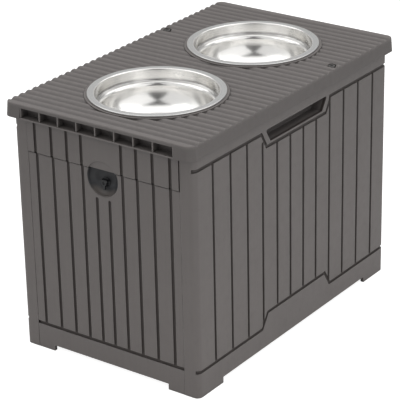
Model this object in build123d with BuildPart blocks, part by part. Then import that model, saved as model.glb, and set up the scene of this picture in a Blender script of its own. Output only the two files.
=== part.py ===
from build123d import *
import math
import os

# Elevated pet feeder with a storage box under a lift-up lid.
# Millimetres. +Z up, origin at the centre of the footprint on the floor.
# +X runs along the long axis; the latch end faces -X, the hinge end +X.

# ---------------------------------------------------------------- sizes
L = 556.0            # box length (X)
W = 348.0            # box width (Y)
H = 402.0            # top of the box walls, underside of the lid
T = 6.0              # wall thickness of the moulded panels
RC = 10.0            # outer corner radius of the box
SEAM = 147.0         # the long panels wrap round the corners to this |Y|
GAP = 0.5            # gap of the end panels to that seam
ZS = 10.0            # underside of the skirting between the feet
FOOT_X = 212.0       # inner end of a foot on a long side
FOOT_Y = 115.0       # inner end of a foot on a short side

GW = 6.2             # plank groove width at the surface
GD = 3.0             # plank groove depth
GT = 14.0            # draft of the groove walls, degrees
Z_TOPG = 382.6       # top cross groove on the long sides
Z_BOTG = 45.0        # bottom cross groove
SIDE_X = (18.9, 56.8, 97.4, 139.8, 184.3, 230.8)
END_Y = (12.2, 38.7, 67.0, 97.3, 129.5)
HEAD_Y = (38.7, 67.2, 97.8, 130.5)

HAND_Z0, HAND_Z1 = 363.5, 386.0       # hand-hold opening, bottom and top
HAND_B, HAND_T = 75.0, 89.0           # its half widths, bottom and top
HAND_D = 22.0                         # its depth
FR_Z = 357.6                          # groove under the hand-hold frame
FR_B, FR_T = 86.0, 100.0              # half widths of that groove's frame
TR_Z = 70.0                           # top of the trapezoid step in the skirting
TR_B, TR_T = 101.0, 85.0

HEAD_Z = 346.0                        # lower edge of the header strip
XP = -277.7                           # outer face of the front panel
CUP_Z, CUP_R, CUP_D = 332.0, 30.0, 11.7
KNOB_Z = 324.0

LL, LW = 583.0, 357.0                 # lid
LR = 12.0
ZL0, ZL1 = 402.0, 428.0
ZSK = 404.0                           # lower edge of the deck's skirt
FLARE = 2.0                           # the skirt stands out this much more at its lower edge
CELL_W = 147.6                        # the row of grip cells ends here
CELL_PITCH = 36.25
PLATE = 4.2                           # lower plate of the underframe
DECK_Z = 422.0                        # underside of the deck plate
RIB_N = 36
RIB_H = 3.2
HOLE_R = 102.0
COLLAR_R = 114.2

BX = 133.6                            # bowl centres at X = -BX, +BX
RIM_R = 110.0
RIM_Z = 431.0

HX, HZ = 284.0, 397.0                 # hinge axis, along Y
HY = 95.0
KN_R, PIN_R = 4.5, 2.0


def slots(plane, cx, cz, length, angle):
    """Solid of one round-ended plank groove, cut inwards from the plane."""
    with BuildPart() as s:
        with BuildSketch(plane):
            with Locations((cx, cz)):
                SlotCenterToCenter(length, GW, rotation=angle)
        extrude(amount=-GD, taper=GT)
    return s.part


def groove(plane, x0, z0, x1, z1):
    dx, dz = x1 - x0, z1 - z0
    n = math.hypot(dx, dz)
    return slots(plane, (x0 + x1) / 2, (z0 + z1) / 2, n, math.degrees(math.atan2(dz, dx)))


def corner_groove(cx, z, arc, gd):
    """The cross groove carried on round a vertical corner of the box, gd deep."""
    with BuildPart() as s:
        with BuildSketch(Plane(origin=(cx, -W / 2 + RC, z), x_dir=(0, -1, 0), z_dir=(1, 0, 0))):
            with BuildLine():
                Polyline((RC + 1, GW / 2 + 0.2), (RC, GW / 2), (RC - gd, GW / 2 - 0.75),
                         (RC - gd, -GW / 2 + 0.75), (RC, -GW / 2), (RC + 1, -GW / 2 - 0.2), close=True)
            make_face()
        revolve(axis=Axis((cx, -W / 2 + RC, 0), (0, 0, 1 if arc > 0 else -1)), revolution_arc=abs(arc))
    return s.part


# ------------------------------------------------- blind screw holes shared by
# the corner cleats' screws in the four wall panels
XW = L / 2 - T       # inner face of the end walls
YW = W / 2 - T       # inner face of the long walls
CL_Z0, CL_Z1 = ZS + 9, 330.0
SCR_Z = (60.0, 175.0, 290.0)
SCR_Y = (138.5, 157.0)
with BuildPart() as screw_bores:
    for sx in (-1, 1):
        for z in SCR_Z:
            with BuildSketch(Plane(origin=(sx * (XW - 1), 0, z), x_dir=(0, 1, 0), z_dir=(-sx, 0, 0))):
                with Locations(*[(s * y, 0) for s in (-1, 1) for y in SCR_Y]):
                    Circle(1.95)
            extrude(amount=-3.7)


# ------------------------------------------------- long side panel, near side
NEAR = Plane(origin=(0, -W / 2, 0), x_dir=(1, 0, 0), z_dir=(0, -1, 0))
near_grooves = []
xl = L / 2 - RC
for s in (-1, 1):
    near_grooves.append(groove(NEAR, s * xl, Z_TOPG, s * FR_T, Z_TOPG))
    near_grooves.append(groove(NEAR, s * FR_T, Z_TOPG, s * FR_B, FR_Z))
    near_grooves.append(groove(NEAR, s * xl, Z_BOTG, s * TR_B, Z_BOTG))
    near_grooves.append(groove(NEAR, s * TR_B, Z_BOTG, s * TR_T, TR_Z))
    for zg in (Z_TOPG, Z_BOTG):
        near_grooves.append(corner_groove(s * xl, zg, 62 * s, GD))
        near_grooves.append(corner_groove(s * xl, zg, 68 * s, GD / 2))
    for x in SIDE_X:
        z0, z1 = Z_BOTG, Z_TOPG
        if x < TR_T:
            z0, z1 = TR_Z, FR_Z
        elif x < 100:
            z0 = 52.0
            z1 = 366.0 if s < 0 else Z_TOPG
        near_grooves.append(groove(NEAR, s * x, z0, s * x, z1))
near_grooves.append(groove(NEAR, -FR_B, FR_Z, FR_B, FR_Z))
near_grooves.append(groove(NEAR, -TR_T, TR_Z, TR_T, TR_Z))

with BuildPart() as side_panel_near:
    with BuildSketch(Plane.XY.offset(ZS)):
        RectangleRounded(L, W, RC)
        RectangleRounded(L - 2 * T, W - 2 * T, RC - T, mode=Mode.SUBTRACT)
        with Locations((0, (W / 2 - SEAM) / 2 + 1)):
            Rectangle(L + 4, W / 2 + SEAM + 2, mode=Mode.SUBTRACT)
    extrude(amount=H - ZS)
    # feet
    with BuildSketch(Plane.XY):
        RectangleRounded(L, W, RC)
        RectangleRounded(L - 2 * T, W - 2 * T, RC - T, mode=Mode.SUBTRACT)
        with Locations((0, (W / 2 - SEAM) / 2 + 1)):
            Rectangle(L + 4, W / 2 + SEAM + 2, mode=Mode.SUBTRACT)
        Rectangle(2 * FOOT_X, W + 4, mode=Mode.SUBTRACT)
    extrude(amount=ZS)
    # ledge that carries the floor panel
    with BuildSketch(Plane.XY.offset(ZS)):
        with Locations((0, -W / 2 + T + 4)):
            Rectangle(L - 2 * T - 12, 8)
    extrude(amount=4)
    # closed box behind the hand-hold
    with BuildSketch(NEAR.offset(-T)):
        Polygon((-HAND_B - 4, HAND_Z0 - 3), (HAND_B + 4, HAND_Z0 - 3),
                (HAND_T + 5.5, HAND_Z1 + 3), (-HAND_T - 5.5, HAND_Z1 + 3), align=None)
    extrude(amount=-(HAND_D + 3 - T))
    with BuildSketch(NEAR) as hand_mouth:
        Polygon((-HAND_B, HAND_Z0), (HAND_B, HAND_Z0), (HAND_T, HAND_Z1), (-HAND_T, HAND_Z1), align=None)
        fillet(hand_mouth.vertices(), radius=3)
    extrude(amount=-HAND_D, mode=Mode.SUBTRACT)
    for g in near_grooves:
        add(g, mode=Mode.SUBTRACT)
    add(screw_bores.part, mode=Mode.SUBTRACT)
side_panel_near.part.label = "side_panel_near"

# ------------------------------------------------- long side panel, far side
with BuildPart() as side_panel_far:
    mirror(side_panel_near.part, about=Plane.XZ)
side_panel_far.part.label = "side_panel_far"

# ------------------------------------------------- front end panel
FRONT = Plane(origin=(XP, 0, 0), x_dir=(0, -1, 0), z_dir=(-1, 0, 0))
front_grooves = []
for y in END_Y:
    for s in (-1, 1):
        zt = 295.5 if y < 20 else HEAD_Z + 4
        front_grooves.append(groove(FRONT, s * y, Z_BOTG, s * y, zt))
front_grooves.append(groove(FRONT, -SEAM, Z_BOTG, SEAM, Z_BOTG))
YE = SEAM - GAP
XI = -L / 2 + T
with BuildPart() as front_panel:
    with BuildSketch(FRONT):
        with Locations((0, (ZS + HEAD_Z - 1.0) / 2)):
            Rectangle(2 * YE, HEAD_Z - 1.0 - ZS)
        for s in (-1, 1):
            with Locations((s * (YE + FOOT_Y) / 2, ZS / 2)):
                Rectangle(YE - FOOT_Y, ZS)
    extrude(amount=-(XI - XP))
    # upper part, set back behind the header strip
    with BuildSketch(Plane(origin=(-273.5, 0, 0), x_dir=(0, -1, 0), z_dir=(-1, 0, 0))):
        with Locations((0, (336 + 398) / 2)):
            Rectangle(2 * YE, 398 - 336)
    extrude(amount=-5)
    # ledge for the floor panel
    with BuildSketch(Plane.XY.offset(ZS)):
        with Locations((XI + 4, 0)):
            Rectangle(8, 2 * 116)
    extrude(amount=4)
    # closed cup round the latch, with a boss for the latch shaft
    with BuildSketch(Plane(origin=(XI - 1, 0, 0), x_dir=(0, -1, 0), z_dir=(-1, 0, 0))):
        with Locations((0, CUP_Z)):
            Circle(CUP_R + 3)
    extrude(amount=-(XP + CUP_D + 3 - XI + 1))
    with BuildSketch(Plane(origin=(XP + CUP_D, 0, 0), x_dir=(0, -1, 0), z_dir=(-1, 0, 0))):
        with Locations((0, KNOB_Z)):
            Circle(8)
    extrude(amount=-9.5)
    with BuildSketch(FRONT.offset(1)):
        with Locations((0, CUP_Z)):
            Circle(CUP_R)
        with Locations((0, HEAD_Z + 40)):
            Rectangle(100, 80, mode=Mode.SUBTRACT)
    extrude(amount=-(CUP_D + 1), mode=Mode.SUBTRACT)
    with BuildSketch(FRONT):
        with Locations((0, KNOB_Z)):
            Circle(5.06)
    extrude(amount=-30, mode=Mode.SUBTRACT)
    for g in front_grooves:
        add(g, mode=Mode.SUBTRACT)
    add(screw_bores.part, mode=Mode.SUBTRACT)
front_panel.part.label = "front_panel"

# ------------------------------------------------- rear end panel
REAR = Plane(origin=(-XP, 0, 0), x_dir=(0, 1, 0), z_dir=(1, 0, 0))
rear_grooves = []
for y in END_Y:
    for s in (-1, 1):
        rear_grooves.append(groove(REAR, s * y, Z_BOTG, s * y, HEAD_Z))
rear_grooves.append(groove(REAR, -SEAM, Z_BOTG, SEAM, Z_BOTG))
rear_grooves.append(groove(REAR, -SEAM, HEAD_Z, SEAM, HEAD_Z))
with BuildPart() as rear_panel:
    with BuildSketch(REAR):
        with Locations((0, (ZS + H) / 2)):
            Rectangle(2 * YE, H - ZS)
        for s in (-1, 1):
            with Locations((s * (YE + FOOT_Y) / 2, ZS / 2)):
                Rectangle(YE - FOOT_Y, ZS)
    extrude(amount=-(XI - XP))
    with BuildSketch(Plane.XY.offset(ZS)):
        with Locations((-XI - 4, 0)):
            Rectangle(8, 2 * 116)
    extrude(amount=4)
    # blind holes for the hinge screws
    for s in (-1, 1):
        with BuildSketch(REAR):
            with Locations((s * HY - 12, 370), (s * HY + 12, 370)):
                Circle(1.9)
        extrude(amount=-4.2, mode=Mode.SUBTRACT)
    for g in rear_grooves:
        add(g, mode=Mode.SUBTRACT)
    add(screw_bores.part, mode=Mode.SUBTRACT)
rear_panel.part.label = "rear_panel"

# ------------------------------------------------- floor panel
with BuildPart() as floor_panel:
    with BuildSketch(Plane.XY.offset(ZS + 4)):
        RectangleRounded(L - 2 * T - 1, W - 2 * T - 1, 5)
    extrude(amount=5)
    # shallow stiffening ribs on the underside, between the ledges
    with BuildSketch(Plane.XY.offset(ZS + 4)):
        with GridLocations(80, 0, 6, 1):
            Rectangle(3, 2 * 150)
        with Locations((0, 0)):
            Rectangle(500, 3)
    extrude(amount=-3.5)
floor_panel.part.label = "floor_panel"

# ------------------------------------------------- corner cleats and screws
cleats = {}
for sx, nx in ((-1, "front"), (1, "rear")):
    for sy, ny in ((-1, "near"), (1, "far")):
        with BuildPart() as cleat:
            with BuildSketch(Plane.XY.offset(CL_Z0)) as cs:
                with Locations((sx * (XW - 2), sy * (YW + 120) / 2)):
                    Rectangle(4, YW - 120)
                with Locations((sx * (XW + 240) / 2, sy * (YW - 2))):
                    Rectangle(XW - 240, 4)
                outer = cs.vertices().sort_by_distance((sx * XW, sy * YW, CL_Z0))[0]
                fillet(outer, radius=5)
            extrude(amount=CL_Z1 - CL_Z0)
            for z in SCR_Z:
                with BuildSketch(Plane(origin=(sx * (XW - 4), 0, z), x_dir=(0, 1, 0), z_dir=(-sx, 0, 0))):
                    with Locations(*[(sy * y, 0) for y in SCR_Y]):
                        Circle(2.1)
                extrude(amount=-4, mode=Mode.SUBTRACT)
        cleat.part.label = "cleat_%s_%s" % (nx, ny)
        cleats[cleat.part.label] = cleat.part

with BuildPart() as panel_screws:
    for sx in (-1, 1):
        for sy in (-1, 1):
            for z in SCR_Z:
                for y in SCR_Y:
                    with BuildSketch(Plane(origin=(sx * (XW - 4), sy * y, z), x_dir=(0, 1, 0), z_dir=(-sx, 0, 0))):
                        Circle(4)
                    extrude(amount=2.2, taper=14)
                    with BuildSketch(Plane(origin=(sx * (XW - 4), sy * y, z), x_dir=(0, 1, 0), z_dir=(-sx, 0, 0))):
                        Circle(1.9)
                    extrude(amount=-6.5)
                    with BuildSketch(Plane(origin=(sx * (XW - 6.2), sy * y, z), x_dir=(0, 1, 0), z_dir=(-sx, 0, 0))):
                        Rectangle(4.4, 0.9)
                        Rectangle(0.9, 4.4)
                    extrude(amount=-1.2, mode=Mode.SUBTRACT)
panel_screws.part.label = "panel_screws"

# ------------------------------------------------- hinges, under the rear overhang
hinge = {}
for sy, ny in ((-1, "near"), (1, "far")):
    yc = sy * HY
    AX = Plane(origin=(HX, yc, HZ), x_dir=(1, 0, 0), z_dir=(0, 1, 0))
    # leaf on the rear panel: plate, two barrels
    with BuildPart() as leaf:
        with BuildSketch(Plane(origin=(L / 2 - 0.3, yc, 0), x_dir=(0, 1, 0), z_dir=(1, 0, 0))) as ps:
            with Locations((0, (360 + HZ) / 2)):
                Rectangle(40, HZ - 360)
            fillet(ps.vertices().group_by(Axis.Z)[0], radius=4)
        extrude(amount=2.0)
        for s in (-1, 1):
            with BuildSketch(AX.offset(s * 13.4)):
                Circle(KN_R)
            extrude(amount=6.6, both=True)
        with BuildSketch(AX.offset(-6.8)):
            Circle(5.2)
        extrude(amount=13.6, mode=Mode.SUBTRACT)
        with BuildSketch(AX.offset(-30)):
            Circle(PIN_R + 0.01)
        extrude(amount=60, mode=Mode.SUBTRACT)
        with BuildSketch(Plane(origin=(L / 2 - 1, yc, 370), x_dir=(0, 1, 0), z_dir=(1, 0, 0))):
            with Locations((-12, 0), (12, 0)):
                Circle(2.1)
        extrude(amount=5, mode=Mode.SUBTRACT)
    leaf.part.label = "hinge_body_leaf_" + ny
    hinge[leaf.part.label] = leaf.part
    # leaf on the lid: barrel, neck, plate let into the underside of the lid
    with BuildPart() as top_leaf:
        with BuildSketch(AX.offset(-6.5)):
            Circle(KN_R)
        extrude(amount=13)
        with BuildSketch(Plane(origin=(HX, yc, HZ), x_dir=(1, 0, 0), z_dir=(0, 0, 1))):
            Rectangle(5, 13)
        extrude(amount=6)
        with BuildSketch(Plane(origin=(0, yc, ZL0), x_dir=(1, 0, 0), z_dir=(0, 0, 1))) as tp:
            with Locations(((252 + HX + 2.5) / 2, 0)):
                Rectangle(HX + 2.5 - 252, 40)
            fillet(tp.vertices().group_by(Axis.X)[0], radius=4)
        extrude(amount=1.5)
        with BuildSketch(AX.offset(-30)):
            Circle(PIN_R + 0.06)
        extrude(amount=60, mode=Mode.SUBTRACT)
        with BuildSketch(Plane(origin=(262, yc, ZL0 - 1), x_dir=(1, 0, 0), z_dir=(0, 0, 1))):
            with Locations((0, -12), (0, 12)):
                Circle(2.1)
        extrude(amount=4, mode=Mode.SUBTRACT)
    top_leaf.part.label = "hinge_lid_leaf_" + ny
    hinge[top_leaf.part.label] = top_leaf.part
    # headed pin
    with BuildPart() as pin:
        with BuildSketch(AX.offset(-20.2)):
            Circle(PIN_R)
        extrude(amount=40.6)
        with BuildSketch(AX.offset(-20.1)):
            Circle(3.6)
        extrude(amount=-1.6, taper=12)
    pin.part.label = "hinge_pin_" + ny
    hinge[pin.part.label] = pin.part

with BuildPart() as hinge_body_screws:
    for sy in (-1, 1):
        for d in (-12, 12):
            HS = Plane(origin=(L / 2 + 1.7, sy * HY + d, 370), x_dir=(0, 1, 0), z_dir=(1, 0, 0))
            with BuildSketch(HS):
                Circle(3.6)
            extrude(amount=2.0, taper=16)
            with BuildSketch(HS):
                Circle(1.8)
            extrude(amount=-6)
            with BuildSketch(HS.offset(2.0)):
                Rectangle(4.0, 0.8)
                Rectangle(0.8, 4.0)
            extrude(amount=-1.1, mode=Mode.SUBTRACT)
hinge_body_screws.part.label = "hinge_body_screws"

with BuildPart() as hinge_lid_screws:
    for sy in (-1, 1):
        for d in (-12, 12):
            HS = Plane(origin=(262, sy * HY + d, ZL0), x_dir=(1, 0, 0), z_dir=(0, 0, -1))
            with BuildSketch(HS):
                Circle(3.6)
            extrude(amount=2.0, taper=16)
            with BuildSketch(HS):
                Circle(1.8)
            extrude(amount=-11)
            with BuildSketch(HS.offset(2.0)):
                Rectangle(4.0, 0.8)
                Rectangle(0.8, 4.0)
            extrude(amount=-1.1, mode=Mode.SUBTRACT)
hinge_lid_screws.part.label = "hinge_lid_screws"

# ------------------------------------------------- lid deck
pitch = LL / RIB_N
with BuildPart() as lid_deck:
    # slab with rounded vertical corners and a skirt that flares outwards, its top edge eased
    with BuildSketch(Plane.XY.offset(ZSK)):
        RectangleRounded(LL + 2 * FLARE, LW + 2 * FLARE, LR + FLARE)
    extrude(amount=ZL1 - ZSK, taper=math.degrees(math.atan2(FLARE, ZL1 - ZSK)))
    fillet(lid_deck.faces().sort_by(Axis.Z)[-1].edges(), radius=2.0)
    # row of rounded ribs and valleys across the whole top; the first and last rib run flat to the edge
    with BuildSketch(Plane.XZ.offset(-LW / 2 - 5)):
        with BuildLine():
            q = pitch / 4
            rr = (q * q + (RIB_H / 2) ** 2) / RIB_H
            half = math.asin(q / rr) / 2
            xc = [-LL / 2 + (i + 0.5) * pitch for i in range(RIB_N)]
            Polyline((xc[0], ZL1), (-LL / 2 - 4, ZL1), (-LL / 2 - 4, ZL0 - 5), (LL / 2 + 4, ZL0 - 5), (LL / 2 + 4, ZL1), (xc[-1], ZL1))
            dx, dz = rr * math.sin(half), rr * (1 - math.cos(half))
            ThreePointArc((xc[0], ZL1), (xc[0] + dx, ZL1 - dz), (xc[0] + q, ZL1 - RIB_H / 2))
            ThreePointArc((xc[-1] - q, ZL1 - RIB_H / 2), (xc[-1] - dx, ZL1 - dz), (xc[-1], ZL1))
            for a, b in zip(xc[:-1], xc[1:]):
                ThreePointArc((a + q, ZL1 - RIB_H / 2), ((a + b) / 2, ZL1 - RIB_H), (b - q, ZL1 - RIB_H / 2))
            for c in xc[1:-1]:
                ThreePointArc((c - q, ZL1 - RIB_H / 2), (c, ZL1), (c + q, ZL1 - RIB_H / 2))
        make_face()
    extrude(amount=LW + 10, mode=Mode.INTERSECT)
    # hollow underside: a skirt stays along the long sides and round the corners
    with BuildSketch(Plane.XY.offset(ZL0)):
        RectangleRounded(LL - 8, LW - 8, LR - 4)
        Rectangle(LL + 14, 2 * CELL_W)
    extrude(amount=DECK_Z - ZL0, mode=Mode.SUBTRACT)
    # flat collar round each bowl opening, set off by a fine moat
    for s in (-1, 1):
        with BuildSketch(Plane.XY.offset(ZL1 - 1.6)):
            with Locations((s * BX, 0)):
                Circle(COLLAR_R + 1.0)
        extrude(amount=10, mode=Mode.SUBTRACT)
    for s in (-1, 1):
        with BuildSketch(Plane.XY.offset(DECK_Z)):
            with Locations((s * BX, 0)):
                Circle(COLLAR_R)
        extrude(amount=ZL1 + 0.4 - DECK_Z)
    for s in (-1, 1):
        with BuildSketch(Plane.XY.offset(ZL0)):
            with Locations((s * BX, 0)):
                Circle(HOLE_R)
        extrude(amount=40, mode=Mode.SUBTRACT)
    # counterbores of the two deck screws
    for s in (-1, 1):
        with BuildSketch(Plane.XY.offset(424.6)):
            with Locations((117, s * 165)):
                Circle(7.5)
        extrude(amount=10, mode=Mode.SUBTRACT)
        with BuildSketch(Plane.XY.offset(DECK_Z - 1)):
            with Locations((117, s * 165)):
                Circle(2.6)
        extrude(amount=10, mode=Mode.SUBTRACT)
    # bosses for the underframe screws
    with BuildSketch(Plane.XY.offset(416)):
        with Locations((-240, 110), (-240, -110), (240, 110), (240, -110), (0, 60), (0, -60), (0, 140), (0, -140)):
            Circle(5)
    extrude(amount=DECK_Z - 416 + 1)
    with BuildSketch(Plane.XY.offset(416)):
        with Locations((-240, 110), (-240, -110), (240, 110), (240, -110), (0, 60), (0, -60), (0, 140), (0, -140)):
            Circle(2.0)
    extrude(amount=6.5, mode=Mode.SUBTRACT)
lid_deck.part.label = "lid_deck"

# ------------------------------------------------- lid underframe
XE = LL / 2 + 0.3
BOSS = [(-240, 110), (-240, -110), (240, 110), (240, -110), (0, 60), (0, -60), (0, 140), (0, -140)]
with BuildPart() as lid_underframe:
    with BuildSketch(Plane.XY.offset(ZL0)):
        RectangleRounded(LL - 8.4, LW - 8.4, LR - 4)
        Rectangle(2 * (LL / 2 + 1.7), 2 * CELL_W - 0.6)
    extrude(amount=PLATE)
    # inner wall behind the grip cells, long stiffening walls, cross walls
    with BuildSketch(Plane.XY.offset(ZL0 + PLATE)):
        for s in (-1, 1):
            with Locations((0, s * 152)):
                Rectangle(2 * 274.9, 2.4)
            with Locations((s * 12, 0)):
                Rectangle(2.4, 2 * 152)
            with Locations((s * BX, 0)):
                Circle(HOLE_R + 5.5)
        for p in BOSS:
            with Locations(p):
                Circle(6)
    extrude(amount=DECK_Z - ZL0 - PLATE)
    # walls of the grip cells, under the deck's lip
    with BuildSketch(Plane.XY.offset(ZL0 + PLATE)):
        for s in (-1, 1):
            with Locations((s * 276, 0)):
                Rectangle(2, 2 * CELL_W - 0.6)
            for k in range(-4, 5):
                y = k * CELL_PITCH if abs(k) < 4 else math.copysign(CELL_W - 1.3, k)
                with Locations((s * (277 + XE) / 2, y)):
                    Rectangle(XE - 277, 2)
    extrude(amount=DECK_Z - ZL0 - PLATE)
    # the plate's outer lips under the cells are thinned from below, level with the deck's skirt
    with BuildSketch(Plane.XY.offset(ZL0 - 1)):
        for s in (-1, 1):
            with Locations((s * 289, 0)):
                Rectangle(12, 2 * CELL_W + 4)
    extrude(amount=ZSK - ZL0 + 1, mode=Mode.SUBTRACT)
    for s in (-1, 1):
        with BuildSketch(Plane.XY.offset(ZL0 - 1)):
            with Locations((s * BX, 0)):
                Circle(HOLE_R + 2.5)
        extrude(amount=30, mode=Mode.SUBTRACT)
    # screw bosses: deck screws, header strip, keeper, hinge leaves
    with BuildSketch(Plane.XY.offset(ZL0 + 1)):
        with Locations((117, 165), (117, -165)):
            Circle(6)
        with Locations((-263, 130), (-263, 62), (-263, -62), (-263, -130)):
            Circle(5)
        with Locations((-247.5, 14), (-247.5, 36)):
            Circle(4.6)
        with Locations((262, HY - 12), (262, HY + 12), (262, -HY - 12), (262, -HY + 12)):
            Circle(4.6)
    extrude(amount=15)
    with BuildSketch(Plane.XY.offset(ZL0 + 16)):
        with Locations((117, 165), (117, -165)):
            Circle(6)
    extrude(amount=DECK_Z - ZL0 - 16)
    with BuildSketch(Plane.XY.offset(ZL0 + 4)):
        with Locations((117, 165), (117, -165)):
            Circle(2.3)
    extrude(amount=30, mode=Mode.SUBTRACT)
    with BuildSketch(Plane.XY.offset(ZL0 - 1)):
        with Locations((-263, 130), (-263, 62), (-263, -62), (-263, -130), (-247.5, 14), (-247.5, 36),
                       (262, HY - 12), (262, HY + 12), (262, -HY - 12), (262, -HY + 12)):
            Circle(1.95)
    extrude(amount=13, mode=Mode.SUBTRACT)
    # deck bosses come down into these, with a counterbore from below
    with BuildSketch(Plane.XY.offset(ZL0 - 1)):
        with Locations(*BOSS):
            Circle(2.2)
    extrude(amount=30, mode=Mode.SUBTRACT)
    with BuildSketch(Plane.XY.offset(415.9)):
        with Locations(*BOSS):
            Circle(5.1)
    extrude(amount=10, mode=Mode.SUBTRACT)
    with BuildSketch(Plane.XY.offset(ZL0 - 1)):
        with Locations(*BOSS):
            Circle(4.4)
    extrude(amount=4.5, mode=Mode.SUBTRACT)
    # pockets for the hinge leaves
    for s in (-1, 1):
        with BuildSketch(Plane(origin=(0, s * HY, ZL0 - 1), x_dir=(1, 0, 0), z_dir=(0, 0, 1))):
            with Locations(((251.8 + HX + 2.7) / 2, 0)):
                Rectangle(HX + 2.7 - 251.8, 40.4)
        extrude(amount=2.5, mode=Mode.SUBTRACT)
lid_underframe.part.label = "lid_underframe"

# ------------------------------------------------- header strip under the lid's front edge
HEADX = -279.5
HP = Plane(origin=(HEADX, 0, 0), x_dir=(0, -1, 0), z_dir=(-1, 0, 0))
HE = 145.8
head_grooves = [groove(HP, s * y, HEAD_Z - 4, s * y, ZL0 + 4) for y in HEAD_Y for s in (-1, 1)]
with BuildPart() as lid_header:
    with BuildSketch(HP):
        with Locations((0, (HEAD_Z + 0.8 + ZL0) / 2)):
            Rectangle(2 * HE, ZL0 - HEAD_Z - 0.8)
    extrude(amount=-4.5)
    # flange that is screwed up into the underframe
    with BuildSketch(Plane.XY.offset(ZL0 - 3)):
        with Locations(((HEADX - 257) / 2, 0)):
            Rectangle(-257 - HEADX, 2 * HE)
    extrude(amount=3)
    # upper part of the round latch recess, a shallow dish
    with BuildSketch(HP.offset(0.5)):
        with Locations((0, CUP_Z)):
            Circle(CUP_R)
    extrude(amount=-3.0, taper=20, mode=Mode.SUBTRACT)
    for g in head_grooves:
        add(g, mode=Mode.SUBTRACT)
    with BuildSketch(Plane.XY.offset(ZL0 - 4)):
        with Locations((-263, 130), (-263, 62), (-263, -62), (-263, -130)):
            Circle(2.1)
    extrude(amount=6, mode=Mode.SUBTRACT)
lid_header.part.label = "lid_header"


def pan_screws(places, r_head, h_head, r_shank, length, z, down):
    """Row of pan-head screws on the underside (down) or top of a plate at z."""
    with BuildPart() as ps:
        for (x, y) in places:
            P = Plane(origin=(x, y, z), x_dir=(1, 0, 0), z_dir=(0, 0, -1 if down else 1))
            with BuildSketch(P):
                Circle(r_head)
            extrude(amount=h_head, taper=14)
            with BuildSketch(P):
                Circle(r_shank)
            extrude(amount=-length)
            with BuildSketch(P.offset(h_head)):
                Rectangle(r_head * 1.15, r_head * 0.22)
                Rectangle(r_head * 0.22, r_head * 1.15)
            extrude(amount=-h_head * 0.55, mode=Mode.SUBTRACT)
    return ps.part


header_screws = pan_screws([(-263, 130), (-263, 62), (-263, -62), (-263, -130)], 3.8, 2.2, 1.85, 14, ZL0 - 3, True)
header_screws.label = "header_screws"
keeper_screws = pan_screws([(-247.5, 14), (-247.5, 36)], 3.4, 2.0, 1.85, 13, ZL0 - 3, True)
keeper_screws.label = "keeper_screws"
underframe_screws = pan_screws(BOSS, 4.1, 2.2, 1.9, 16, ZL0 + 3.5, True)
underframe_screws.label = "underframe_screws"
deck_screws = pan_screws([(117, 165), (117, -165)], 6.0, 2.2, 2.2, 16, 424.6, False)
deck_screws.label = "deck_screws"

# ------------------------------------------------- latch keeper: strap with a hooked toe
CAMX = -255.0        # outer face of the cam
with BuildPart() as latch_keeper:
    with BuildSketch(Plane(origin=(CAMX - 0.5, 0, 0), x_dir=(0, -1, 0), z_dir=(-1, 0, 0))) as ks:
        with BuildLine():
            Polyline((-28, ZL0), (-22, ZL0), (-22, 318), (-11, 318), (-11, 311), (-24.5, 311), (-28, 314.5), close=True)
        make_face()
    extrude(amount=-5)
    with BuildSketch(Plane.XY.offset(ZL0 - 3)) as kf:
        with Locations(((CAMX - 0.5 - 241.5) / 2, 25)):
            Rectangle(-241.5 - CAMX + 0.5, 34)
    extrude(amount=3)
    with BuildSketch(Plane.XY.offset(ZL0 - 4)):
        with Locations((-247.5, 14), (-247.5, 36)):
            Circle(2.1)
    extrude(amount=6, mode=Mode.SUBTRACT)
latch_keeper.part.label = "latch_keeper"

# ------------------------------------------------- latch: escutcheon, knob, cam, screw
KF = Plane(origin=(XP + CUP_D, 0, 0), x_dir=(0, -1, 0), z_dir=(-1, 0, 0))
with BuildPart() as latch_escutcheon:
    # dished lining of the recess
    with BuildSketch(Plane(origin=(0, 0, CUP_Z), x_dir=(1, 0, 0), z_dir=(0, -1, 0))):
        with BuildLine():
            XR, XC = XP + 0.5, XP + CUP_D
            Polyline((XC - 1.6, 0), (XC, 0), (XC, CUP_R - 0.3), (XR, CUP_R - 0.3), (XR, CUP_R - 1.5), (XR + 1.2, CUP_R - 2.0))
            ThreePointArc((XR + 1.2, CUP_R - 2.0), (XC - 4.6, CUP_R - 5.6), (XC - 1.6, CUP_R - 12.5))
            Line((XC - 1.6, CUP_R - 12.5), (XC - 1.6, 0))
        make_face()
    revolve(axis=Axis((0, 0, CUP_Z), (1, 0, 0)))
    with BuildSketch(KF.offset(-5)):
        with Locations((0, HEAD_Z - 1.4 + 40)):
            Rectangle(100, 80)
    extrude(amount=30, mode=Mode.SUBTRACT)
    with BuildSketch(KF.offset(-1)):
        with Locations((0, KNOB_Z)):
            Circle(5.3)
    extrude(amount=6, mode=Mode.SUBTRACT)
latch_escutcheon.part.label = "latch_escutcheon"

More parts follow.
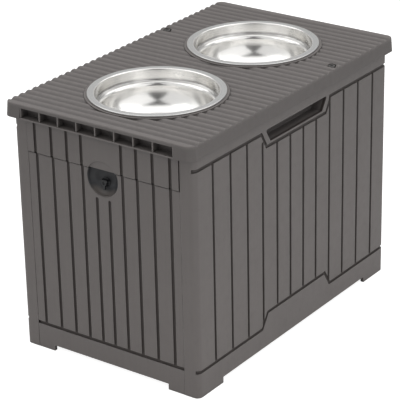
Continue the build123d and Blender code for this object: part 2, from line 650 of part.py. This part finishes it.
with BuildPart() as latch_knob:
    # low round base, then a hub with a finger bar that reaches down from it and a short cross wing
    with BuildSketch(KF.offset(1.8)):
        with Locations((0, KNOB_Z)):
            Circle(7.8)
    extrude(amount=1.4)
    chamfer(latch_knob.faces().sort_by(Axis.X)[0].edges(), length=0.6)
    with BuildSketch(KF.offset(3.2)):
        with Locations((0, KNOB_Z)):
            Circle(5.2)
        with Locations((0, KNOB_Z + 3.2)):
            SlotOverall(13.5, 4.4)
    extrude(amount=5.6, taper=5)
    with BuildSketch(KF.offset(5.6)):
        with Locations((0, KNOB_Z - 4.6)):
            SlotOverall(15.5, 4.4, rotation=90)
    extrude(amount=3.2, taper=5)
    with BuildSketch(KF.offset(8.8)):
        with Locations((0, KNOB_Z)):
            Circle(2.6)
    extrude(amount=-1.2, mode=Mode.SUBTRACT)
    with BuildSketch(KF.offset(1.8)):
        with Locations((0, KNOB_Z)):
            Circle(5.0)
    extrude(amount=-(CAMX - (XP + CUP_D) + 1.8))
    with BuildSketch(Plane(origin=(CAMX, 0, KNOB_Z), x_dir=(0, -1, 0), z_dir=(-1, 0, 0))):
        Rectangle(6, 6)
    extrude(amount=-4)
    with BuildSketch(Plane(origin=(CAMX + 5, 0, KNOB_Z), x_dir=(0, -1, 0), z_dir=(-1, 0, 0))):
        Circle(1.65)
    extrude(amount=13, mode=Mode.SUBTRACT)
latch_knob.part.label = "latch_knob"

with BuildPart() as latch_cam:
    with BuildSketch(Plane(origin=(CAMX, 0, KNOB_Z), x_dir=(0, -1, 0), z_dir=(-1, 0, 0))) as cm:
        Circle(9)
        with Locations((0, 7.5)):
            Rectangle(10, 15)
        with Locations((0, 15)):
            Circle(5)
        Rectangle(6.1, 6.1, mode=Mode.SUBTRACT)
    extrude(amount=-4)
latch_cam.part.label = "latch_cam"

with BuildPart() as latch_cam_screw:
    CS = Plane(origin=(CAMX + 4, 0, KNOB_Z), x_dir=(0, 1, 0), z_dir=(1, 0, 0))
    with BuildSketch(CS):
        Circle(4.6)
    extrude(amount=2.4, taper=14)
    with BuildSketch(CS):
        Circle(1.6)
    extrude(amount=-11)
    with BuildSketch(CS.offset(2.4)):
        Rectangle(5, 1)
        Rectangle(1, 5)
    extrude(amount=-1.3, mode=Mode.SUBTRACT)
latch_cam_screw.part.label = "latch_cam_screw"

# ------------------------------------------------- bowls
# thin pressed bowl: flat rim with a turned-down edge, stepped wall, domed bottom
BT = 1.0
bowls = {}
for s, nb in ((-1, "bowl_front"), (1, "bowl_rear")):
    BP = Plane(origin=(s * BX, 0, 0), x_dir=(1, 0, 0), z_dir=(0, -1, 0))
    BA = Axis((s * BX, 0, 0), (0, 0, 1))
    with BuildPart() as bowl:
        with BuildSketch(BP):
            with BuildLine():
                Polyline((0, RIM_Z), (0, 376.6))
                ThreePointArc((0, 376.6), (25.2, 374.4), (48.0, 367.6))
                ThreePointArc((48.0, 367.6), (52.9, 365.4), (58.4, 366.0))
                ThreePointArc((58.4, 366.0), (80.8, 380.0), (89.4, 404.2))
                ThreePointArc((89.4, 404.2), (91.1, 408.3), (94.5, 410.6))
                ThreePointArc((94.5, 410.6), (96.8, 412.0), (97.6, 414.4))
                Line((97.6, 414.4), (99.2, 428.8))
                ThreePointArc((99.2, 428.8), (99.6, 429.7), (100.6, 430.0))
                Polyline((100.6, 430.0), (RIM_R - 1.6, 430.0), (RIM_R - 1.6, 428.4), (RIM_R, 428.4), (RIM_R, 430.1))
                ThreePointArc((RIM_R, 430.1), (RIM_R - 0.26, 430.74), (RIM_R - 0.9, RIM_Z))
                Line((RIM_R - 0.9, RIM_Z), (0, RIM_Z))
            make_face()
        revolve(axis=BA)
        with BuildSketch(BP):
            with BuildLine():
                Polyline((0, RIM_Z + 5), (0, 377.6))
                ThreePointArc((0, 377.6), (25.0, 375.4), (47.5, 368.6))
                ThreePointArc((47.5, 368.6), (52.5, 366.5), (58.0, 367.0))
                ThreePointArc((58.0, 367.0), (79.9, 380.6), (88.4, 404.4))
                ThreePointArc((88.4, 404.4), (90.2, 408.9), (94.2, 411.6))
                ThreePointArc((94.2, 411.6), (95.9, 412.6), (96.6, 414.5))
                Line((96.6, 414.5), (98.2, 429.2))
                ThreePointArc((98.2, 429.2), (98.8, 430.5), (100.2, RIM_Z))
                Polyline((100.2, RIM_Z), (100.2, RIM_Z + 5), (0, RIM_Z + 5))
            make_face()
        revolve(axis=BA, mode=Mode.SUBTRACT)
    bowl.part.label = nb
    bowls[nb] = bowl.part

# ------------------------------------------------- write the pieces
pieces = [side_panel_near.part, side_panel_far.part, front_panel.part, rear_panel.part, floor_panel.part]
pieces += list(cleats.values()) + [panel_screws.part] + list(hinge.values())
pieces += [hinge_body_screws.part, hinge_lid_screws.part, lid_deck.part, lid_underframe.part, lid_header.part,
           header_screws, keeper_screws, underframe_screws, deck_screws, latch_keeper.part,
           latch_escutcheon.part, latch_knob.part, latch_cam.part, latch_cam_screw.part]
pieces += list(bowls.values())
os.makedirs("parts", exist_ok=True)
for p in pieces:
    export_step(p, "parts/%s.step" % p.label)
    print(p.label, round(p.volume, 1), [round(v, 2) for v in (*p.bounding_box().min, *p.bounding_box().max)])
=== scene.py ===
import bpy, bmesh, math
from mathutils import Matrix, Vector


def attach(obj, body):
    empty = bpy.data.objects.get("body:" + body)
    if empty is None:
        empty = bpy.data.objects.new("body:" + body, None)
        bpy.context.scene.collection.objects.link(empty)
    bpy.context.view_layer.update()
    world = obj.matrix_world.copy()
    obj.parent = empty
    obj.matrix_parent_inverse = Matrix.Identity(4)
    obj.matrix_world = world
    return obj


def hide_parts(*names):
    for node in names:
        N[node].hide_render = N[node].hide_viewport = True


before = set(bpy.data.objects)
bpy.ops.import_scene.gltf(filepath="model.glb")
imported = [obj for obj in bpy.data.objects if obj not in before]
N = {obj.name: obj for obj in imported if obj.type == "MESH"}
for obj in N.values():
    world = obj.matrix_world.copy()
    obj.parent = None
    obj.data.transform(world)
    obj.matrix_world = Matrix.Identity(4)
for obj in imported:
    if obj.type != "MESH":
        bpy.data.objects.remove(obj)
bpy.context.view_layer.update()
scene = bpy.context.scene


# ------------------------------------------------------------------ node helpers
class Tree:
    """Small helper round one material's node tree."""

    def __init__(self, name):
        self.mat = bpy.data.materials.new(name)
        self.mat.use_nodes = True
        self.t = self.mat.node_tree
        self.t.nodes.clear()
        self.out = self.t.nodes.new("ShaderNodeOutputMaterial")
        self.bsdf = self.t.nodes.new("ShaderNodeBsdfPrincipled")
        self.t.links.new(self.bsdf.outputs[0], self.out.inputs[0])
        self.coord = self.t.nodes.new("ShaderNodeTexCoord").outputs["Object"]

    def link(self, a, b):
        self.t.links.new(a, b)

    def put(self, sock, v):
        if hasattr(v, "is_linked") or isinstance(v, bpy.types.NodeSocket):
            self.t.links.new(v, sock)
        elif v is not None:
            sock.default_value = v

    def math(self, op, a, b=None, c=None, clamp=False):
        n = self.t.nodes.new("ShaderNodeMath")
        n.operation = op
        n.use_clamp = clamp
        for i, v in enumerate((a, b, c)):
            if v is not None:
                self.put(n.inputs[i], v)
        return n.outputs[0]

    def scaled(self, sx, sy, sz):
        n = self.t.nodes.new("ShaderNodeMapping")
        n.inputs["Scale"].default_value = (sx, sy, sz)
        self.link(self.coord, n.inputs["Vector"])
        return n.outputs[0]

    def noise(self, scale, detail=2.0, rough=0.5, vec=None, distortion=0.0):
        n = self.t.nodes.new("ShaderNodeTexNoise")
        n.inputs["Scale"].default_value = scale
        n.inputs["Detail"].default_value = detail
        n.inputs["Roughness"].default_value = rough
        n.inputs["Distortion"].default_value = distortion
        self.link(vec if vec is not None else self.coord, n.inputs["Vector"])
        return n.outputs["Fac"]

    def voronoi(self, scale, vec=None, feature="F1"):
        n = self.t.nodes.new("ShaderNodeTexVoronoi")
        n.feature = feature
        n.inputs["Scale"].default_value = scale
        self.link(vec if vec is not None else self.coord, n.inputs["Vector"])
        return n.outputs["Distance"]

    def remap(self, v, a, b, c, d, smooth=False):
        n = self.t.nodes.new("ShaderNodeMapRange")
        n.interpolation_type = "SMOOTHSTEP" if smooth else "LINEAR"
        n.clamp = True
        for i, x in enumerate((v, a, b, c, d)):
            self.put(n.inputs[i], x)
        return n.outputs[0]

    def mix(self, groove_shade_mask, a, b):
        n = self.t.nodes.new("ShaderNodeMix")
        n.data_type = "RGBA"
        self.put(n.inputs["Factor"], groove_shade_mask)
        for k, v in (("A", a), ("B", b)):
            s = [i for i in n.inputs if i.name == k and i.type == "RGBA"][0]
            if isinstance(v, tuple):
                s.default_value = (*v, 1.0) if len(v) == 3 else v
            else:
                self.link(v, s)
        return [o for o in n.outputs if o.type == "RGBA"][0]

    def xyz(self):
        n = self.t.nodes.new("ShaderNodeSeparateXYZ")
        self.link(self.coord, n.inputs[0])
        return n.outputs

    def bump(self, height, strength, distance, normal=None):
        n = self.t.nodes.new("ShaderNodeBump")
        n.inputs["Strength"].default_value = strength
        n.inputs["Distance"].default_value = distance
        self.link(height, n.inputs["Height"])
        if normal is not None:
            self.link(normal, n.inputs["Normal"])
        return n.outputs[0]


def lin(r, g, b):
    """sRGB 0-255 to linear."""
    f = lambda c: c / 12.92 if c <= 0.04045 else ((c + 0.055) / 1.055) ** 2.4
    return tuple(f(v / 255.0) for v in (r, g, b))


def shade(c, k):
    return tuple(x * k for x in c)


def plastic(name, base, rough=0.5, depth=None, groove_shade_level=0.30, grain=1.0, spec=0.45, edge=0.0010, wear_and_highlight=0.20, tone=None, ao_shade=0.55, painted_light=None):
    """Moulded plastic: fine spark-eroded grain, faint flow streaks, cloudy tone, edges lightened partly as rubbed
    plastic and partly as painted highlight, painted shade in the grooves and in the creases that ambient occlusion
    finds.
    depth(T) returns a socket with the depth in metres below the moulding's outer face;
    tone(T) returns a 0..1 socket that says where painted shade darkens the plastic, and the last argument one that says
    where a paler colour is painted in as light."""
    T = Tree(name)
    cloud = T.noise(7.0, 3.0, 0.55)
    patch = T.noise(28.0, 3.0, 0.6)
    fine = T.noise(95.0, 4.0, 0.6)
    streak = T.noise(1.0, 3.0, 0.6, vec=T.scaled(260.0, 260.0, 9.0))
    speck = T.noise(1500.0, 2.0, 0.6)
    col = T.mix(T.remap(cloud, 0.3, 0.7, 0.0, 1.0), shade(base, 0.965), shade(base, 1.035))
    col = T.mix(T.remap(patch, 0.35, 0.7, 0.0, 0.30), col, shade(base, 1.08))
    col = T.mix(T.remap(streak, 0.35, 0.7, 0.0, 0.45), col, shade(base, 1.13))
    col = T.mix(T.remap(fine, 0.55, 0.8, 0.0, 0.30), col, shade(base, 0.88))
    col = T.mix(T.remap(speck, 0.45, 0.75, 0.0, 0.35), col, shade(base, 0.82))
    bev = T.t.nodes.new("ShaderNodeBevel")
    bev.samples = 6
    bev.inputs["Radius"].default_value = edge
    geo = T.t.nodes.new("ShaderNodeNewGeometry")
    dot = T.t.nodes.new("ShaderNodeVectorMath")
    dot.operation = "DOT_PRODUCT"
    T.link(bev.outputs[0], dot.inputs[0])
    T.link(geo.outputs["Normal"], dot.inputs[1])
    # edges lightened where the bevel normal turns away: partly rubbed plastic, partly a painted highlight along the
    # rounded edges
    edge_wear_and_highlight = T.remap(dot.outputs["Value"], 0.985, 0.90, 0.0, 1.0, True)
    edge_wear_and_highlight = T.math("MULTIPLY", edge_wear_and_highlight, T.remap(patch, 0.30, 0.62, wear_and_highlight * 0.5, wear_and_highlight * 2.2))
    col = T.mix(edge_wear_and_highlight, col, tuple(min(1.0, c * 1.5 + 0.05) for c in base))
    # painted shade: groove floors darkened beyond their own occlusion, with a warm brownish tint
    if depth is not None:
        d = depth(T)
        groove_shade_mask = T.math("MULTIPLY", T.remap(d, 0.0002, 0.0014, 0.0, 1.0, True), T.remap(d, 0.0050, 0.0058, 1.0, 0.0))
        col = T.mix(groove_shade_mask, col, (base[0] * groove_shade_level * 1.10, base[1] * groove_shade_level * 0.98, base[2] * groove_shade_level * 0.92))
    # painted shade: creases, recesses and the band under overhangs darkened wherever ambient occlusion finds them
    if ao_shade:
        ao = T.t.nodes.new("ShaderNodeAmbientOcclusion")
        ao.samples = 6
        ao.inputs["Distance"].default_value = 0.011
        crease_shade = T.remap(ao.outputs["AO"], 0.72, 0.25, 0.0, ao_shade, True)
        col = T.mix(crease_shade, col, shade(base, 0.28))
    # painted shade, placed by the part's tone mask
    if tone is not None:
        col = T.mix(tone(T), col, shade(base, 0.40))
    # painted light: a paler colour where the last argument's mask says
    if painted_light is not None:
        col = T.mix(painted_light(T), col, lin(98, 92, 88))
    T.link(col, T.bsdf.inputs["Base Color"])
    T.link(T.remap(fine, 0.3, 0.75, rough - 0.05, rough + 0.07), T.bsdf.inputs["Roughness"])
    T.bsdf.inputs["Specular IOR Level"].default_value = spec
    g1 = T.noise(2600.0, 2.0, 0.6)
    g2 = T.noise(900.0, 2.0, 0.5)
    b = T.bump(g1, 0.35 * grain, 0.00006, bev.outputs[0])
    b = T.bump(g2, 0.25 * grain, 0.00010, b)
    b = T.bump(cloud, 0.10 * grain, 0.0016, b)
    T.link(b, T.bsdf.inputs["Normal"])
    return T.mat


def depth_sides(T):
    """Depth below the outer faces of the box, its rounded vertical corners included."""
    x, y, z = T.xyz()
    qx = T.math("SUBTRACT", T.math("ABSOLUTE", x), 0.268)
    qy = T.math("SUBTRACT", T.math("ABSOLUTE", y), 0.164)
    px, py = T.math("MAXIMUM", qx, 0.0), T.math("MAXIMUM", qy, 0.0)
    out = T.math("SQRT", T.math("ADD", T.math("MULTIPLY", px, px), T.math("MULTIPLY", py, py)))
    inn = T.math("MINIMUM", T.math("MAXIMUM", qx, qy), 0.0)
    return T.math("SUBTRACT", 0.010, T.math("ADD", out, inn))


def depth_end(at):
    def f(T):
        x, y, z = T.xyz()
        return T.math("SUBTRACT", at, T.math("ABSOLUTE", x))
    return f


def depth_header(T):
    """Depth below the header's face, but nothing inside the round dish round the latch."""
    x, y, z = T.xyz()
    dz = T.math("SUBTRACT", z, 0.332)
    r = T.math("SQRT", T.math("ADD", T.math("MULTIPLY", y, y), T.math("MULTIPLY", dz, dz)))
    return T.math("MULTIPLY", T.math("SUBTRACT", 0.2795, T.math("ABSOLUTE", x)), T.remap(r, 0.0308, 0.0312, 0.0, 1.0))


def deck_valley_shade(T):
    """Painted shade low in the rib valleys and the moats, and more of it on the lid's fascia below them; the deck's
    flat collars stay unshaded.
    """
    x, y, z = T.xyz()
    return T.math("MAXIMUM", T.remap(z, 0.4277, 0.4248, 0.0, 0.52, True), T.remap(z, 0.4244, 0.4228, 0.0, 0.64, True))


def upper_wall_shade(T):
    """Painted shade: the walls get darker towards the top, under the lid, and stay paler towards the floor."""
    x, y, z = T.xyz()
    return T.remap(z, 0.10, 0.40, 0.0, 0.26)


def header_overhang_shade(T):
    """Painted shadow: a darker band on the header right under the lid's overhang."""
    x, y, z = T.xyz()
    return T.math("MAXIMUM", T.remap(z, 0.3830, 0.3985, 0.0, 0.50, True), upper_wall_shade(T))


def dish_shade(T):
    """Painted shade: the dish is darkest close under the header's edge, as a painted shadow, and on its wall beside the
    knob.
    """
    x, y, z = T.xyz()
    return T.math("MAXIMUM", T.remap(z, 0.3205, 0.3262, 0.0, 0.80, True), T.remap(y, -0.0165, -0.0250, 0.0, 0.75, True))


def pocket_shade(T):
    """Painted shade in the hand-hold pockets, below the depth of the plank grooves, and the painted shade of the upper
    walls.
    """
    x, y, z = T.xyz()
    deep = T.math("MULTIPLY", T.remap(depth_sides(T), 0.0058, 0.0140, 0.0, 0.55, True), T.remap(z, 0.325, 0.335, 0.0, 1.0))
    return T.math("MAXIMUM", deep, upper_wall_shade(T))


def dish_lit_wall(T):
    """Painted light: a paler colour on the lower, upward facing wall of the latch's dish, broken up by noise."""
    x, y, z = T.xyz()
    dz = T.math("SUBTRACT", z, 0.332)
    r = T.math("SQRT", T.math("ADD", T.math("MULTIPLY", y, y), T.math("MULTIPLY", dz, dz)))
    low = T.remap(z, 0.320, 0.309, 0.0, 1.0, True)
    return T.math("MULTIPLY", T.math("MULTIPLY", T.remap(r, 0.018, 0.027, 0.0, 0.8, True), low), T.remap(T.noise(420.0, 3.0, 0.6), 0.2, 0.6, 0.7, 1.0))


def cell_shadow(T):
    """Painted shadow inside the deep grip cells."""
    x, y, z = T.xyz()
    ax = T.math("ABSOLUTE", x)
    inside = T.math("MULTIPLY", T.remap(ax, 0.2915, 0.2885, 0.0, 1.0, True), T.remap(z, 0.4059, 0.4068, 0.0, 1.0))
    return T.math("MULTIPLY", inside, 0.72)


def steel(name, base, rough, rough_var=0.05, spun=False, aniso=0.0, turn=0.25):
    """Metal: cloudy tone, fine scratches; spun steel has lathe marks round its own axis."""
    T = Tree(name)
    T.bsdf.inputs["Metallic"].default_value = 1.0
    cloud = T.noise(22.0, 3.0, 0.55)
    fine = T.noise(700.0, 3.0, 0.6)
    tint = T.mix(cloud, shade(base, 0.95), shade(base, 1.03))
    if spun:
        x, y, z = T.xyz()
        # painted dark reflection in the fillet between the upper wall and the shoulder
        crease_shade = T.math("MULTIPLY", T.remap(z, 0.4092, 0.4116, 0.0, 1.0, True), T.remap(z, 0.4136, 0.4180, 1.0, 0.0, True))
        crease_shade = T.math("MULTIPLY", crease_shade, T.remap(T.noise(30.0, 2.0, 0.5), 0.35, 0.65, 0.45, 0.85))
        tint = T.mix(crease_shade, tint, shade(base, 0.28))
        dx = T.math("SUBTRACT", T.math("ABSOLUTE", x), 0.1336)
        r = T.math("SQRT", T.math("ADD", T.math("MULTIPLY", dx, dx), T.math("MULTIPLY", y, y)))
        comb = T.t.nodes.new("ShaderNodeCombineXYZ")
        T.link(T.math("MULTIPLY", r, 2400.0), comb.inputs[0])
        T.link(T.math("MULTIPLY", z, 2400.0), comb.inputs[1])
        lathe = T.noise(1.0, 3.0, 0.65, vec=comb.outputs[0])
        T.link(T.remap(lathe, 0.3, 0.7, rough - rough_var, rough + rough_var), T.bsdf.inputs["Roughness"])
        tan = T.t.nodes.new("ShaderNodeTangent")
        tan.direction_type = "RADIAL"
        tan.axis = "Z"
        T.link(tan.outputs[0], T.bsdf.inputs["Tangent"])
        T.bsdf.inputs["Anisotropic"].default_value = aniso
        T.bsdf.inputs["Anisotropic Rotation"].default_value = turn
        b = T.bump(lathe, 0.10, 0.00001)
        T.link(T.bump(cloud, 0.04, 0.0006, b), T.bsdf.inputs["Normal"])
        T.link(tint, T.bsdf.inputs["Base Color"])
    else:
        T.link(tint, T.bsdf.inputs["Base Color"])
        T.link(T.remap(fine, 0.3, 0.7, rough - rough_var, rough + rough_var), T.bsdf.inputs["Roughness"])
        T.link(T.bump(fine, 0.05, 0.00003), T.bsdf.inputs["Normal"])
    return T.mat


TAUPE = lin(104, 99, 97)
M = {}
M["sides"] = plastic("side_panel_moulded", TAUPE, 0.46, depth_sides, wear_and_highlight=0.34, edge=0.0024, tone=pocket_shade)
M["front"] = plastic("front_panel_moulded", TAUPE, 0.46, depth_end(0.2777), wear_and_highlight=0.34, edge=0.0024, tone=upper_wall_shade)
M["header"] = plastic("header_moulded", TAUPE, 0.46, depth_header, wear_and_highlight=0.34, tone=header_overhang_shade)
# the lid takes a lighter copy of the wall plastic as painted light on the top; its rib valleys and fascia carry painted
# shade
M["lid"] = plastic("lid_lit_moulded", shade(TAUPE, 1.14), 0.48, tone=deck_valley_shade, wear_and_highlight=0.32)
M["frame"] = plastic("underframe_moulded", shade(TAUPE, 0.92), 0.5, tone=cell_shadow)
M["inner"] = plastic("inner_moulded", shade(TAUPE, 0.75), 0.55)
M["dark"] = plastic("dark_moulded", lin(48, 50, 53), 0.36, grain=0.6, wear_and_highlight=0.08)
M["dish"] = plastic("dish_moulded", lin(44, 45, 48), 0.46, grain=0.6, wear_and_highlight=0.05, tone=dish_shade, painted_light=dish_lit_wall)
M["black"] = plastic("knob_moulded", lin(24, 25, 27), 0.30, grain=0.5, wear_and_highlight=0.10)
M["bowl"] = steel("bowl_spun_steel", (0.93, 0.92, 0.90), 0.22, 0.03, spun=True, aniso=0.6)
M["rim"] = steel("bowl_rim_satin", (0.76, 0.76, 0.75), 0.30, spun=True, aniso=0.4)
M["zinc"] = steel("zinc_plated", (0.58, 0.58, 0.57), 0.34)
M["blacked"] = steel("deck_screw_blackened", (0.16, 0.155, 0.15), 0.40)
M["screw"] = steel("screw_steel", (0.62, 0.62, 0.61), 0.28)

MAT = {
    "side_panel_near": "sides", "side_panel_far": "sides", "front_panel": "front", "rear_panel": "front",
    "lid_header": "header", "floor_panel": "inner", "lid_deck": "lid", "lid_underframe": "frame",
    "latch_keeper": "dark", "latch_escutcheon": "dish", "latch_knob": "black", "latch_cam": "zinc",
    "bowl_front": "bowl", "bowl_rear": "bowl", "deck_screws": "blacked",
}
for n, o in N.items():
    key = MAT.get(n)
    if key is None:
        key = "inner" if n.startswith("cleat") else "zinc" if n.startswith("hinge") and "screw" not in n else "screw"
    o.data.materials.clear()
    o.data.materials.append(M[key])

# ------------------------------------------------------------------ bowls
def arc(p0, pm, p1, n):
    """Points of the circular arc through three points, the first one left out."""
    (x0, y0), (x1, y1), (x2, y2) = p0, pm, p1
    d = 2 * (x0 * (y1 - y2) + x1 * (y2 - y0) + x2 * (y0 - y1))
    ux = ((x0**2 + y0**2) * (y1 - y2) + (x1**2 + y1**2) * (y2 - y0) + (x2**2 + y2**2) * (y0 - y1)) / d
    uy = ((x0**2 + y0**2) * (x2 - x1) + (x1**2 + y1**2) * (x0 - x2) + (x2**2 + y2**2) * (x1 - x0)) / d
    r = math.hypot(x0 - ux, y0 - uy)
    a0, am, a1 = (math.atan2(q[1] - uy, q[0] - ux) for q in (p0, pm, p1))
    while am < a0:
        am += 2 * math.pi
    while a1 < a0:
        a1 += 2 * math.pi
    if not a0 <= am <= a1:
        a1 -= 2 * math.pi
    return [(ux + r * math.cos(a0 + (a1 - a0) * i / n), uy + r * math.sin(a0 + (a1 - a0) * i / n)) for i in range(1, n + 1)]


RIM_R, RIM_Z = 110.0, 431.0
BOWL_IN = [(0.0, 377.6)]                                              # inside, from the middle of the dome to the rim
BOWL_IN += arc((0.0001, 377.6), (25.0, 375.4), (47.5, 368.6), 14)
BOWL_IN += arc((47.5, 368.6), (52.5, 366.5), (58.0, 367.0), 8)
BOWL_IN += arc((58.0, 367.0), (79.9, 380.6), (88.4, 404.4), 24)
BOWL_IN += arc((88.4, 404.4), (90.2, 408.9), (94.2, 411.6), 14)
BOWL_IN += arc((94.2, 411.6), (95.9, 412.6), (96.6, 414.5), 6)
BOWL_IN += [(97.0, 418.2), (97.4, 421.9), (97.8, 425.5), (98.2, 429.2)]
BOWL_IN += arc((98.2, 429.2), (98.8, 430.5), (100.2, 431.0), 6)
BOWL_IN += [(103.2, 431.0), (106.2, 431.0), (109.1, 431.0)]
BOWL_IN += arc((109.1, 431.0), (109.74, 430.74), (110.0, 430.1), 5)
BOWL_OUT = [(110.0, 428.4), (108.4, 428.4), (108.4, 430.0), (104.5, 430.0), (100.6, 430.0)]
BOWL_OUT += arc((100.6, 430.0), (99.6, 429.7), (99.2, 428.8), 5)
BOWL_OUT += [(98.4, 421.6), (97.6, 414.4)]
BOWL_OUT += arc((97.6, 414.4), (96.8, 412.0), (94.5, 410.6), 6)
BOWL_OUT += arc((94.5, 410.6), (91.1, 408.3), (89.4, 404.2), 14)
BOWL_OUT += arc((89.4, 404.2), (80.8, 380.0), (58.4, 366.0), 24)
BOWL_OUT += arc((58.4, 366.0), (52.9, 365.4), (48.0, 367.6), 8)
BOWL_OUT += arc((48.0, 367.6), (25.2, 374.4), (0.0001, 376.6), 14)
PROFILE = BOWL_IN + BOWL_OUT[:-1] + [(0.0, 376.6)]
SEG = 224


def bowl_mesh(name, cx):
    """Pressed bowl: its profile turned round the bowl's axis, inside and outside faces."""
    bm = bmesh.new()
    rings = []
    for r, z in PROFILE:
        if r < 0.01:
            rings.append([bm.verts.new((cx / 1000.0, 0.0, z / 1000.0))])
        else:
            rings.append([bm.verts.new(((cx + r * math.cos(2 * math.pi * k / SEG)) / 1000.0,
                                        r * math.sin(2 * math.pi * k / SEG) / 1000.0, z / 1000.0)) for k in range(SEG)])
    for i in range(len(rings) - 1):
        a, b = rings[i], rings[i + 1]
        flat = PROFILE[i][0] > 99.9 and PROFILE[i + 1][0] > 99.9 and PROFILE[i][1] > 429.9
        for k in range(SEG):
            m = (k + 1) % SEG
            if len(a) == 1:
                f = bm.faces.new((a[0], b[k], b[m]))
            elif len(b) == 1:
                f = bm.faces.new((a[k], b[0], a[m]))
            else:
                f = bm.faces.new((a[k], b[k], b[m], a[m]))
            f.smooth = True
            f.material_index = 1 if flat and i < len(BOWL_IN) + 2 else 0
    bmesh.ops.recalc_face_normals(bm, faces=bm.faces[:])
    me = bpy.data.meshes.new(name)
    bm.to_mesh(me)
    bm.free()
    o = bpy.data.objects.new(name, me)
    scene.collection.objects.link(o)
    me.materials.append(M["bowl"])
    me.materials.append(M["rim"])
    return o


for nb, sx in (("bowl_front", -1), ("bowl_rear", 1)):
    o = bowl_mesh(nb + "_spun", sx * 133.6)
    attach(o, nb)
    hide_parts(nb)

# ------------------------------------------------------------------ stage, light, camera
def plane(name, size, z):
    me = bpy.data.meshes.new(name)
    s = size / 2
    me.from_pydata([(-s, -s, z), (s, -s, z), (s, s, z), (-s, s, z)], [], [(0, 1, 2, 3)])
    o = bpy.data.objects.new(name, me)
    scene.collection.objects.link(o)
    return o


floor = plane("studio_floor", 40.0, -0.0005)
T = Tree("floor_white")
T.bsdf.inputs["Base Color"].default_value = (0.5, 0.5, 0.5, 1)
T.bsdf.inputs["Roughness"].default_value = 0.9
T.bsdf.inputs["Specular IOR Level"].default_value = 0.1
FLOOR_GLOW = 0.34
lp = T.t.nodes.new("ShaderNodeLightPath")
T.bsdf.inputs["Emission Color"].default_value = (1, 1, 1, 1)
T.link(T.remap(lp.outputs["Is Camera Ray"], 0.0, 1.0, FLOOR_GLOW, 0.9), T.bsdf.inputs["Emission Strength"])
floor.data.materials.append(T.mat)

world = bpy.data.worlds.new("studio")
scene.world = world
world.use_nodes = True
wt = world.node_tree
bg = wt.nodes["Background"]
bg.inputs[0].default_value = (1.0, 1.0, 1.0, 1)
WORLD = 0.08
BACKDROP = 0.44
# plain white studio: dim all round, a pale backdrop behind the object, white where nothing but the room is seen
gen = wt.nodes.new("ShaderNodeTexCoord").outputs["Generated"]


def wmath(op, u, v):
    n = wt.nodes.new("ShaderNodeMath")
    n.operation = op
    for i, q in enumerate((u, v)):
        if isinstance(q, (int, float)):
            n.inputs[i].default_value = q
        else:
            wt.links.new(q, n.inputs[i])
    return n.outputs[0]


def wramp(v, a0, a1, b0, b1):
    n = wt.nodes.new("ShaderNodeMapRange")
    n.interpolation_type = "SMOOTHSTEP"
    for i, q in enumerate((v, a0, a1, b0, b1)):
        if isinstance(q, (int, float)):
            n.inputs[i].default_value = q
        else:
            wt.links.new(q, n.inputs[i])
    return n.outputs[0]


sep = wt.nodes.new("ShaderNodeSeparateXYZ")
wt.links.new(gen, sep.inputs[0])
behind = wmath("ADD", wmath("MULTIPLY", sep.outputs[0], 0.809), wmath("MULTIPLY", sep.outputs[1], 0.588))
glow = wmath("MULTIPLY", wramp(behind, -0.30, 0.20, 0.0, 1.0), wramp(sep.outputs[2], 0.80, 0.45, 0.0, 1.0))
level = wmath("ADD", wmath("MULTIPLY", glow, BACKDROP), WORLD)
wlp = wt.nodes.new("ShaderNodeLightPath")
wt.links.new(wramp(wlp.outputs["Is Camera Ray"], 0.0, 1.0, level, 1.0), bg.inputs[1])

# name, azimuth and elevation seen from the object (azimuth 0 lies towards -Y, -90 towards -X), distance, width, height, power
LIGHTS = [
    ("soft_left", -116, 34, 2.2, 3.5, 2.6, 19.4),
    ("soft_right", 1, 34, 2.2, 3.1, 2.6, 23.6),
    ("soft_front", -50, -1, 1.35, 1.8, 0.44, 2.6),
    ("soft_top", 126, 74, 2.2, 5.0, 2.6, 49.0),
]
AIM = Vector((0, 0, 0.25))
for name, la, le, dist, sx, sy, power in LIGHTS:
    d = bpy.data.lights.new(name, "AREA")
    d.shape = "RECTANGLE"
    d.size, d.size_y, d.energy = sx, sy, power
    o = bpy.data.objects.new(name, d)
    scene.collection.objects.link(o)
    ra, re = math.radians(la), math.radians(le)
    o.location = AIM + dist * Vector((math.sin(ra) * math.cos(re), -math.cos(ra) * math.cos(re), math.sin(re)))
    o.rotation_mode = "QUATERNION"
    o.rotation_quaternion = (AIM - o.location).to_track_quat("-Z", "Y")

cam_data = bpy.data.cameras.new("camera")
cam = bpy.data.objects.new("camera", cam_data)
scene.collection.objects.link(cam)
scene.camera = cam
cam_data.sensor_fit = "HORIZONTAL"
cam_data.sensor_width = 36.0
cam_data.lens = 1943.72 * 36.0 / 400.0
az, el, roll = math.radians(-53.9317), math.radians(24.0404), math.radians(-1.24574)
back = Vector((math.sin(az) * math.cos(el), -math.cos(az) * math.cos(el), math.sin(el)))
right = Vector((math.cos(az), math.sin(az), 0))
up = back.cross(right)
r2 = right * math.cos(roll) + up * math.sin(roll)
u2 = -right * math.sin(roll) + up * math.cos(roll)
cam.matrix_world = Matrix(((r2.x, u2.x, back.x, -2.396388), (r2.y, u2.y, back.y, -1.726725),
                           (r2.z, u2.z, back.z, 1.508235), (0, 0, 0, 1)))
cam_data.clip_start, cam_data.clip_end = 0.05, 60.0
scene.view_settings.view_transform = "Standard"
scene.view_settings.look = "None"
